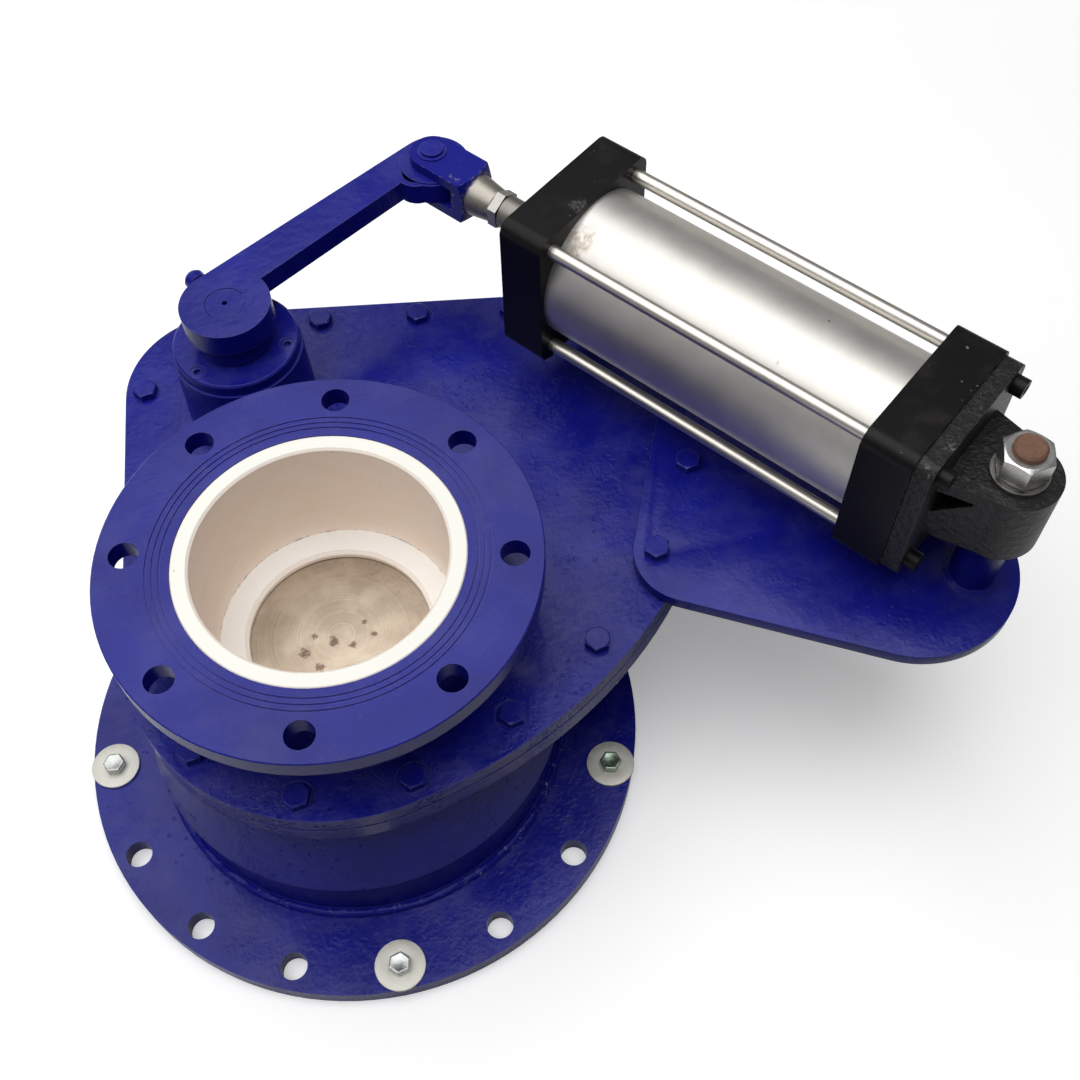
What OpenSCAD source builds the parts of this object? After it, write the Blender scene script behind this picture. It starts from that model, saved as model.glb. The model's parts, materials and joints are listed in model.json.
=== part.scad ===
// Swing disc rotary valve with a ceramic lined inlet and an air cylinder that turns the disc aside.
// The origin is the centre of the outlet flange's lower face, +Z is up and +Y points to the shaft.

/* [Ports] */
// Height from the outlet flange face to the inlet flange face
face_to_face = 308; // [290:1:360]
// Clear bore of the ceramic inlet liner
bore_d = 196; // [180:1:200]
// Wall of the ceramic liner
liner_wall = 13.8; // [8:0.1:14]
// Outer diameter of the inlet flange
inlet_flange_d = 340; // [335:1:350]
// Bolt circle of the inlet flange
inlet_pcd = 295; // [290:1:300]
// Holes in the inlet flange
inlet_holes = 8; // [4:4:12]
// Wall of the inlet neck round the liner
neck_wall = 12; // [9:0.5:16]
// Outer diameter of the outlet flange
outlet_flange_d = 500; // [495:1:520]
// Bolt circle of the outlet flange
outlet_pcd = 460; // [450:1:465]
// Holes in the outlet flange
outlet_holes = 16; // [8:4:20]
// Outer diameter of the outlet pipe
outlet_pipe_d = 356; // [350:1:370]
// Wall of the outlet pipe
outlet_wall = 10; // [8:0.5:14]
// Bolt holes of both flanges
flange_hole_d = 23; // [18:1:26]
// Thickness of both flanges
flange_t = 18; // [14:1:24]

/* [Housing] */
// Height of the cover's upper face
cover_top = 210; // [205:1:230]
// Thickness of the cover plate
cover_t = 16; // [12:1:20]
// Thickness of the gasket in the split line
gasket_t = 2; // [1:0.5:4]
// Thickness of the body's bolting rim
rim_t = 18; // [14:1:24]
// Distance from the port axis to the shaft
shaft_y = 245; // [240:1:260]
// Rim radius of the corner beside the shaft
near_corner_r = 90; // [82:1:105]
// Rim radius of the far corner
far_corner_r = 100; // [80:1:105]
// Distance from the shaft to the straight rim edge behind it
back_edge_dist = 109; // [106:1:125]
// Direction of the straight rim edge
back_edge_angle = -18.8; // [-25:0.1:-10]
// Place of the near corner along the straight edge, from the shaft
near_corner_shift = -27; // [-40:1:-10]
// Distance from the rim's edge to the case wall
rim_w = 30; // [28:1:34]
// Wall of the case
case_wall = 12; // [8:1:14]
// Height of the case's underside
case_bottom = 88; // [84:1:95]
// Height where the outlet pipe starts to taper in
taper_z = 80; // [60:1:82]
// Distance of the rim bolts from the rim's edge
bolt_inset = 18; // [16:1:19]
// Distance of the bolts on the long arc from the rim's edge
arc_bolt_inset = 25; // [18:1:26]
// Size of the rim bolts
rim_bolt_d = 12; // [8:1:14]

/* [Seat and disc] */
// Opening of the ceramic seat ring
seat_d = 150; // [130:1:160]
// Thickness of the seat ring
seat_t = 8; // [6:0.5:10]
// Diameter of the valve disc
disc_d = 190; // [180:1:200]
// Thickness of the valve disc
disc_t = 22; // [16:1:24]
// Running gap between disc and seat
seat_gap = 0.3; // [0.2:0.1:0.5]

/* [Shaft] */
// Diameter of the shaft in its upper bush
shaft_d = 45; // [42:1:48]
// Diameter of the shaft in the rocker arm
shaft_arm_d = 40; // [38:1:41]
// Diameter of both shaft ends
shaft_end_d = 34; // [30:1:37]
// Diameter of the shaft boss on the cover
boss_d = 111; // [108:1:118]
// Height of the boss's upper face
boss_top = 283; // [280:1:287]
// Bore of the boss
boss_bore_d = 64; // [60:1:68]
// Thickness of the gland cover
gland_t = 11; // [8:1:12]

/* [Lever] */
// Height of the lever's and cylinder's middle plane
lever_z = 328; // [327:1:340]
// Distance from the shaft to the fork pin
lever_r = 234.5; // [225:0.5:245]
// Direction of the lever when the valve is closed
lever_angle = 23; // [18:1:28]
// Thickness of the lever bar
lever_t = 20; // [16:1:20]
// Diameter of the lever hub
hub_d = 76; // [72:1:86]
// Height of the lever hub
hub_h = 22; // [20:1:26]
// Radius of the lever's eye
eye_r = 32; // [30:1:36]
// Distance of the lever's inner edge from its centre line
lever_edge = 0; // [-4:0.5:8]

/* [Cylinder] */
// Rear pivot's place along X
pivot_x = 487; // [480:1:500]
// Rear pivot's place along Y
pivot_y = -167; // [-180:1:-160]
// Stroke of the cylinder
stroke = 200; // [120:1:205]
// Bore of the cylinder
cyl_bore = 125; // [118:1:128]
// Wall of the cylinder tube
tube_wall = 3.5; // [2.5:0.5:4]
// Side of the square end caps
cap_w = 140; // [138:1:146]
// Length of the end caps
cap_l = 42; // [38:1:48]
// Length of tube between the caps
tube_l = 294; // [285:1:296]
// Distance between tie rods
tie_pitch = 111; // [110:1:115]
// Diameter of the tie rods
tie_d = 12; // [10:1:13]
// Diameter of the piston rod
rod_d = 30; // [26:1:32]
// Thickness of the rear bracket's flange
bracket_flange_t = 15; // [12:1:18]
// Distance from the rear pivot to the rear bracket's flange
bracket_reach = 40; // [39:1:46]
// Radius of the rear bracket's eye
bracket_eye_r = 33; // [30:1:36]
// Height of the rear bracket's eye
bracket_eye_h = 66; // [60:1:66]

/* [Fork] */
// Width of the fork
fork_w = 40; // [36:1:44]
// Height of the fork
fork_h = 42; // [40:1:46]
// Gap between the fork's ears
fork_gap = 22.6; // [22.6:0.1:24]
// Length from the fork pin to the end of the fork's block
fork_l = 51; // [50:1:56]
// Diameter of the fork pin
pin_d = 20; // [16:1:20]

/* [Cylinder bracket] */
// Thickness of the bracket plate
plate_t = 12; // [10:1:16]
// Radius of the bracket plate's end
plate_end_r = 69; // [60:1:80]
// Radius of the bracket plate's two other corners
plate_corner_r = 30; // [26:1:34]
// Diameter of the pivot post
post_d = 38; // [34:1:44]
// Diameter of the pivot stud
stud_d = 25; // [20:1:26]

/* [Hidden] */
$fn = 96;

// Running clearance of a journal, and the slip fit of a piece that is fixed in its seat
run_fit = 0.05;
slip_fit = 0.02;
// Gap between faces that pass each other
pass_gap = 0.3;
// Small extra length that carries a cut through a face
cut = 1;
// Small set-in that lets two round forms cross cleanly where they would only touch
nip = 0.4;
// The same for the round corners of a belt, which would only touch its straight sides
belt_nip = 0.04;

// Heights that follow from the stack of plates
cover_z = cover_top - cover_t;
rim_top = cover_z - gasket_t;
rim_z = rim_top - rim_t;
inlet_z = face_to_face - flange_t;
floor_t = 12;
floor_z = case_bottom + floor_t;
neck_bore_r = bore_d / 2 + liner_wall + 0.2;
liner_r = bore_d / 2 + liner_wall;
seat_z = rim_top - seat_t;
holder_t = 16;
holder_gap = 3;
neck_r = neck_bore_r + neck_wall;

// Rim outline
shaft_at = [0, shaft_y];
port_rim_r = neck_bore_r + holder_t + holder_gap + rim_w + case_wall;
sector_r = shaft_y + port_rim_r;
along = [cos(back_edge_angle), sin(back_edge_angle)];
outward = [-along[1], along[0]];
near_corner = shaft_at + (back_edge_dist - near_corner_r) * outward + near_corner_shift * along;
far_corner_out = back_edge_dist - far_corner_r;
far_corner_reach = sqrt(pow(sector_r - far_corner_r, 2) - pow(far_corner_out, 2));
far_corner = shaft_at + far_corner_out * outward + far_corner_reach * along;
far_corner_angle = back_edge_angle + atan2(far_corner_out, far_corner_reach);

// Rim bolts: on the arc round the shaft, round the far corner, along the back edge, and round the port
arc_first = -75.4;
arc_step = 13.6;
arc_bolts = 5;
arc_bolt_r = sector_r - arc_bolt_inset;
wall_arc_in = arc_bolt_inset - bolt_inset;
back_bolts = [57.5, 149, 236];
port_bolt_angles = [274, 241, 206.5, 172];
near_bolt_angles = [162.5, 98];
far_bolt_angles = [16, 70];
side_bolt_share = 0.5;
function polar(c, r, a) = c + r * [cos(a), sin(a)];
function arc_bolt(k) = polar(shaft_at, arc_bolt_r, arc_first + k * arc_step);
side_bolt = (1 - side_bolt_share) * polar([0, 0], port_rim_r - bolt_inset, 167)
  + side_bolt_share * polar(near_corner, near_corner_r - bolt_inset, 167);
rim_points = concat(
  [for (k = [0 : arc_bolts - 1]) arc_bolt(k)],
  [for (a = far_bolt_angles) polar(far_corner, far_corner_r - bolt_inset, a)],
  [for (t = back_bolts) shaft_at + (back_edge_dist - bolt_inset) * outward + t * along],
  [for (a = near_bolt_angles) polar(near_corner, near_corner_r - bolt_inset, a)],
  [side_bolt],
  [for (a = port_bolt_angles) polar([0, 0], port_rim_r - bolt_inset, a)]);
rim_hole_d = rim_bolt_d + 1.5;
head_af = 1.6 * rim_bolt_d;
spot_r = head_af * 0.72;
spot_depth = 0.6;
head_t = 0.65 * rim_bolt_d;
plate_bolts = [2, 3, 4];
nut_t = 0.85 * rim_bolt_d;
bolt_tail = 4;

// Lever and cylinder linkage, solved for the closed and the open end
pin_at = polar(shaft_at, lever_r, lever_angle);
pivot_at = [pivot_x, pivot_y];
to_pin = pin_at - pivot_at;
rod_reach = norm(to_pin);
rod_dir = atan2(to_pin[1], to_pin[0]);
pivot_dist = norm(shaft_at - pivot_at);
function shaft_corner(reach) = acos((pow(pivot_dist, 2) + pow(lever_r, 2) - pow(reach, 2))
  / (2 * pivot_dist * lever_r));
lever_swing = shaft_corner(rod_reach + stroke) - shaft_corner(rod_reach);
function real_pin(q) = polar(shaft_at, lever_r, lever_angle + q);
open_to_pin = real_pin(lever_swing) - pivot_at;
cylinder_swing = atan2(open_to_pin[1], open_to_pin[0]) - rod_dir;
// The rod's and cylinder's shares of the swing are even, so the pin drifts in the eye at mid travel
function drawn_pin(t) = polar(pivot_at, rod_reach + t * stroke, rod_dir + t * cylinder_swing);
function drift(t) = drawn_pin(t) - real_pin(t * lever_swing);
function inward(q) = -[cos(lever_angle + q), sin(lever_angle + q)];
drift_steps = [for (t = [0 : 0.05 : 1]) t];
slot_len = max([for (t = drift_steps) drift(t) * inward(t * lever_swing)]);
slot_side = max([for (t = drift_steps) abs(cross(drift(t), inward(t * lever_swing)))]);
slot_r = pin_d / 2 + slot_side + pass_gap;
slot_wall = 5;

// Stations along the cylinder, measured from the rear pivot
flange_x = bracket_reach;
rear_cap_x = flange_x + bracket_flange_t;
tube_x = rear_cap_x + cap_l;
front_cap_x = tube_x + tube_l;
front_x = front_cap_x + cap_l;
tube_seat = 5;
tube_r = cyl_bore / 2 + tube_wall;
spigot_l = 14;
piston_l = 36;
piston_x = tube_x + spigot_l + 2;
piston_nut_l = 14;
thread_r = 10;
block_x = rod_reach - fork_l;
fork_neck_l = 24;
neck_x = block_x - fork_neck_l;
lock_nut_l = 9;
lock_nut_x = neck_x - lock_nut_l - 0.5;
rod_front = lock_nut_x - 1;
eye_low = lever_z - bracket_eye_h / 2;
eye_high = lever_z + bracket_eye_h / 2;
plate_top = cover_top + plate_t;

// Colours
blue = [0.16, 0.16, 0.52];
ceramic = [0.96, 0.94, 0.86];
zinc = [0.62, 0.63, 0.65];
steel = [0.55, 0.54, 0.53];
black = [0.08, 0.08, 0.09];
bronze = [0.72, 0.52, 0.28];
dark_rubber = [0.12, 0.12, 0.12];
graphite = [0.25, 0.25, 0.27];

// Common shapes
function tangent(a, b) =
  let (d = [b[0] - a[0], b[1] - a[1]])
  let (n = atan2(d[1], d[0]) - acos((a[2] - b[2]) / norm(d)))
  [[a[0] + a[2] * cos(n), a[1] + a[2] * sin(n)], [b[0] + b[2] * cos(n), b[1] + b[2] * sin(n)]];

// Tight belt round circles [x, y, r], listed anticlockwise
module belt(discs) {
  last = len(discs) - 1;
  polygon([for (k = [0 : last]) each tangent(discs[k], discs[k == last ? 0 : k + 1])]);
  for (c = discs) translate([c[0], c[1]]) circle(c[2] - belt_nip);
}

module ring(r_out, r_in, z, h) {
  translate([0, 0, z]) difference() {
    cylinder(r = r_out, h = h);
    translate([0, 0, -cut]) cylinder(r = r_in, h = h + 2 * cut);
  }
}

module rod(r, z, h) {
  translate([0, 0, z]) cylinder(r = r, h = h);
}

module hex(af, z, h) {
  translate([0, 0, z]) cylinder(d = af / cos(30), h = h, $fn = 6);
}

// Hexagon with its corners turned off in a cone, as on a bolt head or nut
module hex_head(af, z, h) {
  intersection() {
    hex(af, z, h);
    translate([0, 0, z]) rotate_extrude()
      polygon([[0, 0], [af * 0.6, 0], [af * 0.6, h - af * 0.07], [af * 0.47, h], [0, h]]);
  }
}

module around(count, r, first) {
  for (k = [0 : count - 1]) rotate([0, 0, first + k * 360 / count]) translate([r, 0, 0]) children();
}

module box(x0, x1, y0, y1, z0, z1) {
  translate([x0, y0, z0]) cube([x1 - x0, y1 - y0, z1 - z0]);
}

// Housing outline drawn in by a distance from the rim's edge, and its long arc and far corner by some more
module outline(inset, arc_in = 0) {
  belt([
    [0, 0, port_rim_r - inset],
    [far_corner[0], far_corner[1], far_corner_r - inset - arc_in],
    [near_corner[0], near_corner[1], near_corner_r - inset]]);
  intersection() {
    translate(shaft_at) circle(sector_r - nip - inset - arc_in);
    polygon([
      shaft_at,
      polar(shaft_at, 2 * sector_r, -90),
      polar(shaft_at, 2 * sector_r, (far_corner_angle - 90) / 2),
      polar(shaft_at, 2 * sector_r, far_corner_angle)]);
  }
}

module rim_holes(z, h) {
  for (p = rim_points) translate([p[0], p[1], z]) cylinder(d = rim_hole_d, h = h);
}

module at_shaft() {
  translate([shaft_at[0], shaft_at[1], 0]) children();
}

// Cylinder frame: X runs from the rear pivot to the fork pin, Z stays up
module along_rod() {
  translate([pivot_at[0], pivot_at[1], lever_z]) rotate([0, 0, rod_dir]) children();
}

// A turned piece on the cylinder's axis, drawn along Z from the rear pivot
module turned() {
  along_rod() rotate([0, 90, 0]) children();
}

// Lower body: outlet flange and pipe, tapered throat, swing case, rim and lower shaft boss
throat_r = port_rim_r - rim_w;
low_boss_r = 46;
low_boss_l = 36;
low_boss_z = case_bottom - low_boss_l;
low_bore_r = 25;
pipe_r = outlet_pipe_d / 2;
bulge = 4;
foot = 6;

module pipe_outside() {
  rotate_extrude() polygon([
    [0, 0], [pipe_r + foot, 0], [pipe_r + foot, flange_t], [pipe_r, flange_t + foot],
    [pipe_r, taper_z - 14], [pipe_r + bulge, taper_z], [throat_r - nip, rim_z - 8],
    [throat_r - nip, rim_top - cut], [0, rim_top - cut]]);
}

module pipe_inside() {
  rotate_extrude() polygon([
    [0, -cut], [pipe_r - outlet_wall, -cut], [pipe_r - outlet_wall, taper_z],
    [throat_r - case_wall - nip, rim_z - 8], [throat_r - case_wall - nip, rim_top - cut], [0, rim_top - cut]]);
}

module boss_ribs() {
  rib_t = 12;
  at_shaft() for (a = [-60, 60, 180]) rotate([0, 0, a - 90])
    translate([0, -rib_t / 2, 0]) rotate([90, 0, 0]) translate([0, 0, -rib_t])
      linear_extrude(rib_t) polygon([
        [low_boss_r - 3, low_boss_z + 6], [low_boss_r + 1, low_boss_z + 6],
        [low_boss_r + 26, case_bottom + 1], [low_boss_r - 3, case_bottom + 1]]);
}

module lower_body() {
  color(blue) difference() {
    union() {
      cylinder(d = outlet_flange_d, h = flange_t);
      pipe_outside();
      translate([0, 0, case_bottom]) linear_extrude(rim_top - case_bottom) outline(rim_w, wall_arc_in);
      translate([0, 0, rim_z]) linear_extrude(rim_t) outline(0);
      at_shaft() rod(low_boss_r, low_boss_z, low_boss_l + floor_t / 2);
      boss_ribs();
    }
    translate([0, 0, floor_z]) linear_extrude(rim_top - floor_z + cut)
      outline(rim_w + case_wall, wall_arc_in);
    pipe_inside();
    at_shaft() rod(low_bore_r, low_boss_z - cut, low_boss_l + floor_t + 2 * cut);
    at_shaft() around(cap_screws, cap_screw_r, 45)
      rod(cap_screw_d / 2 + slip_fit, low_boss_z - cut, end_cap_thread_l + 2 * cut);
    rim_holes(rim_z - cut, rim_t + 2 * cut);
    around(outlet_holes, outlet_pcd / 2, 180 / outlet_holes) rod(flange_hole_d / 2, -cut, flange_t + 2 * cut);
  }
}

module body_gasket() {
  color(graphite) translate([0, 0, rim_top]) difference() {
    linear_extrude(gasket_t) outline(1);
    translate([0, 0, -cut]) linear_extrude(gasket_t + 2 * cut) outline(rim_w + case_wall, wall_arc_in);
    rim_holes(-cut, gasket_t + 2 * cut);
  }
}

// Upper cover: plate, inlet neck and flange with gasket grooves, seat holder, shaft boss and its web
groove_w = 1.6;
groove_depth = 1.2;
groove_first_r = neck_bore_r + 7;
groove_step = 5;
pad_r = neck_r + 10;
pad_t = 8;
boss_draft = 2;
ledge_t = 4;
ledge_r = shaft_d / 2 + 3;

module inlet_neck() {
  rotate_extrude() polygon([
    [neck_bore_r, cover_z], [neck_r + 10, cover_z], [neck_r + 10, cover_top],
    [neck_r + 3, cover_top + 5], [neck_r, cover_top + 14], [neck_r, inlet_z - 6],
    [neck_r + 6, inlet_z], [inlet_flange_d / 2, inlet_z], [inlet_flange_d / 2, face_to_face - 1],
    [inlet_flange_d / 2 - 1, face_to_face], [neck_bore_r, face_to_face]]);
}

module gasket_grooves() {
  for (k = [0 : 2]) ring(groove_first_r + k * groove_step + groove_w, groove_first_r + k * groove_step,
    face_to_face - groove_depth, groove_depth + cut);
}

module shaft_boss() {
  at_shaft() translate([0, 0, cover_z]) rotate_extrude() polygon([
    [0, 0], [boss_d / 2 + 8, 0], [boss_d / 2 + 8, cover_t], [boss_d / 2 + boss_draft, cover_t + 6],
    [boss_d / 2, boss_top - cover_z], [0, boss_top - cover_z]]);
}

// Spot faces that the rim bolts' heads stand on
module spot_faces() {
  for (k = [0 : len(rim_points) - 1]) if (!on_plate(k))
    translate([rim_points[k][0], rim_points[k][1], 0]) rod(spot_r, cover_top - spot_depth, spot_depth + cut);
}

module upper_cover() {
  color(blue) difference() {
    union() {
      translate([0, 0, cover_z]) linear_extrude(cover_t) outline(0);
      translate([0, 0, cover_top - 1]) linear_extrude(pad_t + 1)
        belt([[0, 0, pad_r], [0, shaft_y, boss_d / 2 + 6]]);
      inlet_neck();
      shaft_boss();
      rod(neck_bore_r + holder_t, seat_z + 1, rim_top + gasket_t - seat_z);
    }
    rod(neck_bore_r, seat_z - cut, face_to_face - seat_z + 2 * cut);
    gasket_grooves();
    at_shaft() rod(ledge_r, cover_z - cut, ledge_t + 2 * cut);
    at_shaft() rod(boss_bore_d / 2, cover_z + ledge_t, boss_top);
    at_shaft() around(gland_screws_n, gland_screw_r, gland_first) rod(gland_screw_d / 2 + slip_fit, boss_top - gland_thread_l - 4, gland_thread_l + 4 + cut);
    rim_holes(cover_z - cut, cover_t + 2 * cut);
    spot_faces();
    around(inlet_holes, inlet_pcd / 2, 180 / inlet_holes)
      rod(flange_hole_d / 2, inlet_z - cut, flange_t + 2 * cut);
  }
}

module inlet_liner() {
  color(ceramic) rotate_extrude() polygon([
    [bore_d / 2, rim_top], [liner_r, rim_top], [liner_r, face_to_face - 1], [liner_r - 1, face_to_face],
    [bore_d / 2 + 2, face_to_face], [bore_d / 2, face_to_face - 2]]);
}

module seat_ring() {
  color(ceramic) rotate_extrude() polygon([
    [seat_d / 2, seat_z + 1], [seat_d / 2 + 1, seat_z], [liner_r, seat_z], [liner_r, rim_top],
    [seat_d / 2 + 3, rim_top], [seat_d / 2, rim_top - 3]]);
}

// Fasteners of the split line. Three of them also hold the bracket plate
function on_plate(k) = k >= plate_bolts[0] && k <= plate_bolts[2];
function seat_of(k) = on_plate(k) ? plate_top : cover_top - spot_depth;

module rim_bolts() {
  color(blue) for (k = [0 : len(rim_points) - 1]) translate([rim_points[k][0], rim_points[k][1], 0]) {
    hex_head(head_af, seat_of(k), head_t);
    rod(rim_bolt_d / 2, rim_z - nut_t - bolt_tail, seat_of(k) - rim_z + nut_t + bolt_tail);
  }
}

module rim_nuts() {
  color(zinc) for (p = rim_points) translate([p[0], p[1], 0]) difference() {
    mirror([0, 0, 1]) hex_head(head_af, -rim_z, nut_t);
    rod(rim_bolt_d / 2 + slip_fit, rim_z - nut_t - cut, nut_t + 2 * cut);
  }
}

// Shaft bearings and packing
bush_h = 50;
packing_z = cover_z + ledge_t + bush_h;
packing_rows = 4;
gland_nose = 7;
packing_h = (boss_top - gland_nose - packing_z) / packing_rows;
gland_d = boss_d - 4;
gland_top = boss_top + gland_t;
gland_screws_n = 3;
gland_screw_r = gland_d / 2 - 8;
gland_screw_d = 8;
gland_thread_l = 14;
gland_head_t = 7.5;
gland_head_sink = 0.5;
gland_first = -30;
bush_flange_r = 31;
bush_flange_t = 4;
low_shaft_z = floor_z + bush_flange_t + pass_gap;

module upper_bush() {
  color(bronze) at_shaft()
    ring(boss_bore_d / 2 - slip_fit, shaft_d / 2 + run_fit, cover_z + ledge_t, bush_h);
}

module lower_bush() {
  color(bronze) at_shaft() difference() {
    union() {
      rod(low_bore_r - slip_fit, low_boss_z + 8, floor_z - low_boss_z - 8);
      rod(bush_flange_r, floor_z, bush_flange_t);
    }
    rod(shaft_end_d / 2 + run_fit, low_boss_z, floor_z);
  }
}

module packing_rings() {
  color(graphite) at_shaft() for (k = [0 : packing_rows - 1])
    ring(boss_bore_d / 2 - slip_fit, shaft_d / 2 + run_fit, packing_z + k * packing_h, packing_h);
}

module gland_cover() {
  color(blue) at_shaft() difference() {
    union() {
      translate([0, 0, boss_top]) rotate_extrude() polygon([
        [0, 0], [gland_d / 2, 0], [gland_d / 2, gland_t - 1.5], [gland_d / 2 - 1.5, gland_t], [0, gland_t]]);
      rod(boss_bore_d / 2 - slip_fit, boss_top - gland_nose, gland_nose + 1);
    }
    rod(shaft_d / 2 + pass_gap, boss_top - gland_nose - cut, gland_nose + gland_t + 2 * cut);
    around(gland_screws_n, gland_screw_r, gland_first) {
      rod(gland_screw_d / 2 + slip_fit, boss_top - cut, gland_t + 2 * cut);
      rod(gland_screw_d * 0.8, gland_top - gland_head_t - gland_head_sink, gland_head_t + gland_head_sink + cut);
    }
  }
}

module gland_screws() {
  color(blue) at_shaft() around(gland_screws_n, gland_screw_r, gland_first) difference() {
    union() {
      rod(gland_screw_d * 0.75, gland_top - gland_head_t - gland_head_sink, gland_head_t);
      rod(gland_screw_d / 2, boss_top - gland_thread_l, gland_thread_l + gland_t - gland_head_t);
    }
    hex(gland_screw_d * 0.75, gland_top - 4, 4);
  }
}

cap_screws = 4;
cap_screw_r = 36;
cap_screw_d = 8;
end_cap_t = 8;
end_cap_thread_l = 14;

module shaft_end_cap() {
  color(blue) at_shaft() difference() {
    rod(low_boss_r, low_boss_z - end_cap_t, end_cap_t);
    around(cap_screws, cap_screw_r, 45) rod(cap_screw_d / 2 + slip_fit, low_boss_z - end_cap_t - cut, end_cap_t + 2 * cut);
  }
}

module end_cap_screws() {
  color(zinc) at_shaft() around(cap_screws, cap_screw_r, 45) {
    mirror([0, 0, 1]) hex_head(13, end_cap_t - low_boss_z, 5.5);
    rod(cap_screw_d / 2, low_boss_z - end_cap_t - 1, end_cap_t + end_cap_thread_l);
  }
}

// Bracket plate and rear pivot
plate_back = 30;
plate_end = pivot_at + plate_back * (shaft_at - pivot_at) / pivot_dist;

module bracket_plate() {
  first = arc_bolt(plate_bolts[0]);
  last = arc_bolt(plate_bolts[2]);
  color(blue) difference() {
    translate([0, 0, cover_top]) linear_extrude(plate_t) belt([
      [first[0], first[1], plate_corner_r],
      [plate_end[0], plate_end[1], plate_end_r],
      [last[0], last[1], plate_corner_r]]);
    rim_holes(cover_top - cut, plate_t + 2 * cut);
  }
}

stud_depth = 40;
stud_top = eye_high + 33;
washer_t = 3;
pivot_nut_t = 21;

module at_pivot() {
  translate([pivot_at[0], pivot_at[1], 0]) children();
}

module pivot_post() {
  color(blue) at_pivot() difference() {
    translate([0, 0, plate_top]) rotate_extrude() polygon([
      [0, 0], [post_d / 2 + 4, 0], [post_d / 2, 4], [post_d / 2, eye_low - pass_gap - plate_top],
      [0, eye_low - pass_gap - plate_top]]);
    rod(stud_d / 2 + slip_fit, eye_low - stud_depth, stud_depth + cut);
  }
}

module pivot_stud() {
  color(steel) at_pivot() {
    rod(stud_d / 2, eye_low - stud_depth, stud_top - 2 - eye_low + stud_depth);
    translate([0, 0, stud_top - 2]) cylinder(r1 = stud_d / 2, r2 = stud_d / 2 - 2, h = 2);
  }
}

module pivot_washers() {
  color(zinc) at_pivot() {
    ring(stud_d * 0.88, stud_d / 2 + slip_fit, eye_high + pass_gap, washer_t);
    ring(stud_d * 0.74, stud_d / 2 + slip_fit, eye_high + pass_gap + washer_t, washer_t);
  }
}

module pivot_nut() {
  color(zinc) at_pivot() difference() {
    hex_head(36, eye_high + pass_gap + 2 * washer_t, pivot_nut_t);
    rod(stud_d / 2 + slip_fit, eye_high, stud_top - eye_high);
  }
}

// Shaft and what turns with it
collar_r = 32;
hub_top = lever_z + lever_t / 2;
hub_z = hub_top - hub_h;
collar_z = gland_top + 1.5;
arm_z = 120;
arm_t = 24;
arm_hub_z = 116;
arm_hub_top = 150;
clip_t = 2.4;
clip_z = arm_hub_z - clip_t;
clip_groove = 1.5;
key_w = 10;
key_h = 8;

module shaft() {
  color(steel) at_shaft() difference() {
    union() {
      rod(shaft_end_d / 2, low_boss_z + 4, low_shaft_z - low_boss_z - 4);
      rod(shaft_arm_d / 2, low_shaft_z, arm_hub_top - low_shaft_z);
      rod(shaft_d / 2, arm_hub_top, hub_z - arm_hub_top);
      rod(shaft_end_d / 2, hub_z, hub_h - 1);
      translate([0, 0, hub_top - 1]) cylinder(r1 = shaft_end_d / 2, r2 = shaft_end_d / 2 - 1, h = 1);
    }
    key_box(shaft_end_d / 2, hub_z, hub_h + cut);
    rotate([0, 0, -90]) key_box(shaft_arm_d / 2, arm_hub_z, arm_hub_top - arm_hub_z);
    ring(shaft_arm_d, shaft_arm_d / 2 - clip_groove, clip_z, clip_t);
    rod(2.5, hub_top - 6, 6 + cut);
  }
}

// Key along X with half its height in the shaft
module key_box(r, z, h) {
  box(r - key_h / 2, r + key_h / 2, -key_w / 2, key_w / 2, z, z + h);
}

module shaft_collar() {
  color(blue) at_shaft() ring(collar_r, shaft_d / 2 + slip_fit, collar_z, hub_z - collar_z);
}

module lever_key() {
  color(steel) at_shaft() key_box(shaft_end_d / 2, hub_z, hub_h - 0.5);
}

module lever_bar() {
  root_r = hub_d / 2 - nip;
  lean = acos((root_r - eye_r) / lever_r);
  polygon([
    [0, lever_edge], [lever_r, lever_edge],
    [lever_r + eye_r * cos(lean), eye_r * sin(lean)],
    [root_r * cos(lean), root_r * sin(lean)]]);
  translate([lever_r, 0]) circle(eye_r - belt_nip);
  translate([lever_r - slot_len, 0]) circle(slot_r + slot_wall);
}

module pin_slot() {
  translate([lever_r, 0]) circle(slot_r);
  translate([lever_r - slot_len, 0]) circle(slot_r);
  translate([lever_r - slot_len, -slot_r]) square([slot_len, 2 * slot_r]);
}

set_screw_angle = 109;
set_screw_d = 12;

module lever_arm() {
  color(blue) at_shaft() difference() {
    union() {
      rod(hub_d / 2, hub_z, hub_h - lever_t);
      translate([0, 0, hub_top - lever_t]) linear_extrude(lever_t) {
        circle(hub_d / 2);
        rotate(lever_angle) lever_bar();
      }
    }
    rod(shaft_end_d / 2 + slip_fit, hub_z - cut, hub_h + 2 * cut);
    key_box(shaft_end_d / 2, hub_z - cut, hub_h + 2 * cut);
    rotate([0, 0, lever_angle]) translate([0, 0, lever_z - lever_t / 2 - cut])
      linear_extrude(lever_t + 2 * cut) pin_slot();
    set_screw_place() rod(set_screw_d / 2 + slip_fit, shaft_end_d / 2 - 3, hub_d);
  }
}

module set_screw_place() {
  translate([0, 0, lever_z]) rotate([0, 0, set_screw_angle]) rotate([0, 90, 0]) children();
}

module lever_set_screw() {
  color(blue) at_shaft() set_screw_place() {
    rod(set_screw_d / 2, shaft_end_d / 2 + slip_fit, hub_d / 2 + 6 - shaft_end_d / 2);
    translate([0, 0, hub_d / 2 + 3]) rotate_extrude() polygon([
      [0, 0], [9, 0], [9, 8], [7, 11], [4, 12.5], [0, 13]]);
  }
}

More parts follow.
